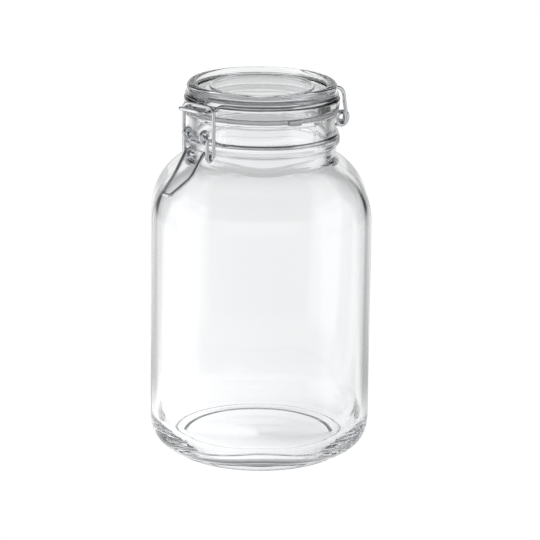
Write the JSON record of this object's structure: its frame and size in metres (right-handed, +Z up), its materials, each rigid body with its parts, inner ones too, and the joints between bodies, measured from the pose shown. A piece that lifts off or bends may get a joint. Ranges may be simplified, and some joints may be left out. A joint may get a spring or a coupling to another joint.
{
  "type": "clip-top storage jar",
  "caption": "Clear glass storage jar with a square body, round neck, hinged glass lid on a rubber ring, and a bent-wire toggle latch.",
  "frame": {"origin": "on the neck's axis, on the surface that the jar stands on", "axes": "+Z up along the neck's axis; the latch is towards -Y and the lid's hinge towards +Y; +X is to the right when the jar is seen from the latch's side"},
  "size_m": [0.1536, 0.1652, 0.2446],
  "materials": {
    "jar_glass": "clear, fire-polished, moulded",
    "lid_glass": "clear, pressed",
    "rubber_ring": "translucent white, matt",
    "wire": "bright drawn steel wire"
  },
  "bodies": {
    "jar": {"jar": "jar_glass", "neck_wire": "wire"},
    "lid": {"lid": "lid_glass", "gasket": "rubber_ring", "lid_wire": "wire"},
    "lever": {"lever": "wire"},
    "bail": {"bail": "wire"}
  },
  "joints": [
    {"name": "lid_hinge", "type": "hinge", "parent": "jar", "child": "lid", "pos_m": [0, 0.0706, 0.2082], "axis": [-1, 0, 0], "range_deg": [0, 110]},
    {"name": "latch_lever", "type": "hinge", "parent": "jar", "child": "lever", "pos_m": [0, -0.0608, 0.2188], "axis": [-1, 0, 0], "range_deg": [0, 120]},
    {"name": "bail_pivot", "type": "hinge", "parent": "lever", "child": "bail", "pos_m": [0, -0.058, 0.2056], "axis": [-1, 0, 0], "range_deg": [-110, 0]}
  ],
  "couplings": [
    {"joint": "bail_pivot", "follows": "latch_lever", "ratio": -0.9}
  ]
}
